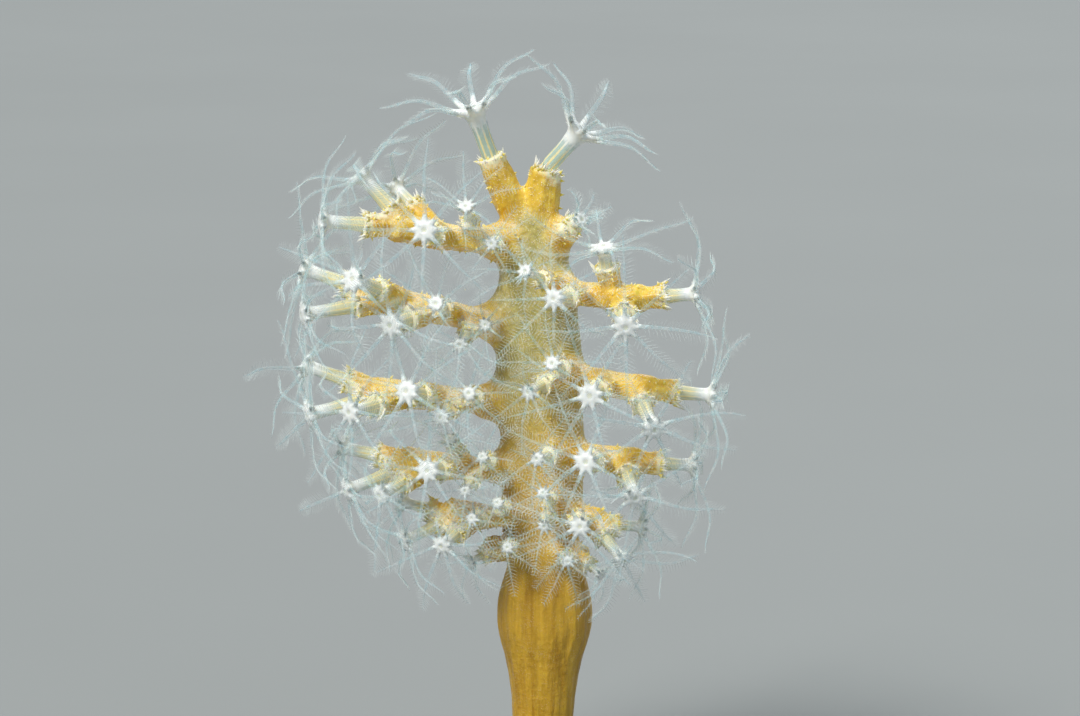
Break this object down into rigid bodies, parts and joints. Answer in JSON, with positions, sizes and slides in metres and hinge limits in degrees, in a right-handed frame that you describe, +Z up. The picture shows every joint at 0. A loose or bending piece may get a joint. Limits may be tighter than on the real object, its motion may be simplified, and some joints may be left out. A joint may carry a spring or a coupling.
{
  "type": "sea pen",
  "caption": "Young sea pen as a still model: fleshy stem, paired leaves of yellow calyces and feathery-armed clear polyps, its foot on a plain round display base.",
  "frame": {"origin": "centre of the display base's underside, on the floor", "axes": "+Z up along the stem, -Y the polyp-bearing front of the colony, +X to the right seen from the front"},
  "size_m": [0.043, 0.04, 0.0655],
  "materials": {
    "base_finish": "satin, stained dark",
    "peduncle_skin": "wet, finely wrinkled flesh",
    "rachis_skin": "wet, translucent flesh",
    "leaf_skin": "wet, granular flesh",
    "polyp_tissue": "clear, gelatinous"
  },
  "bodies": {
    "root": {"stand_base": "base_finish", "peduncle_foot": "peduncle_skin", "peduncle_stalk": "peduncle_skin", "rachis_lower": "rachis_skin", "rachis_upper": "rachis_skin", "calyx_crown_right": "leaf_skin", "polyp_crown_right": "polyp_tissue", "calyx_crown_left": "leaf_skin", "polyp_crown_left": "polyp_tissue", "leaf_left_1": "leaf_skin", "polyp_left_1_1": "polyp_tissue", "polyp_left_1_2": "polyp_tissue", "polyp_left_1_3": "polyp_tissue", "polyp_left_1_4": "polyp_tissue", "leaf_left_2": "leaf_skin", "polyp_left_2_1": "polyp_tissue", "polyp_left_2_2": "polyp_tissue", "polyp_left_2_3": "polyp_tissue", "polyp_left_2_4": "polyp_tissue", "polyp_left_2_5": "polyp_tissue", "leaf_left_3": "leaf_skin", "polyp_left_3_1": "polyp_tissue", "polyp_left_3_2": "polyp_tissue", "polyp_left_3_3": "polyp_tissue", "polyp_left_3_4": "polyp_tissue", "polyp_left_3_5": "polyp_tissue", "leaf_left_4": "leaf_skin", "polyp_left_4_1": "polyp_tissue", "polyp_left_4_2": "polyp_tissue", "polyp_left_4_3": "polyp_tissue", "polyp_left_4_4": "polyp_tissue", "leaf_left_5": "leaf_skin", "polyp_left_5_1": "polyp_tissue", "polyp_left_5_2": "polyp_tissue", "polyp_left_5_3": "polyp_tissue", "leaf_left_6": "leaf_skin", "leaf_right_1": "leaf_skin", "polyp_right_1_1": "polyp_tissue", "leaf_right_2": "leaf_skin", "polyp_right_2_1": "polyp_tissue", "polyp_right_2_2": "polyp_tissue", "polyp_right_2_3": "polyp_tissue", "polyp_right_2_4": "polyp_tissue", "leaf_right_3": "leaf_skin", "polyp_right_3_1": "polyp_tissue", "polyp_right_3_2": "polyp_tissue", "polyp_right_3_3": "polyp_tissue", "leaf_right_4": "leaf_skin", "polyp_right_4_1": "polyp_tissue", "polyp_right_4_2": "polyp_tissue", "polyp_right_4_3": "polyp_tissue", "leaf_right_5": "leaf_skin", "polyp_right_5_1": "polyp_tissue", "polyp_right_5_2": "polyp_tissue", "polyp_right_5_3": "polyp_tissue", "leaf_right_6": "leaf_skin"}
  },
  "joints": []
}
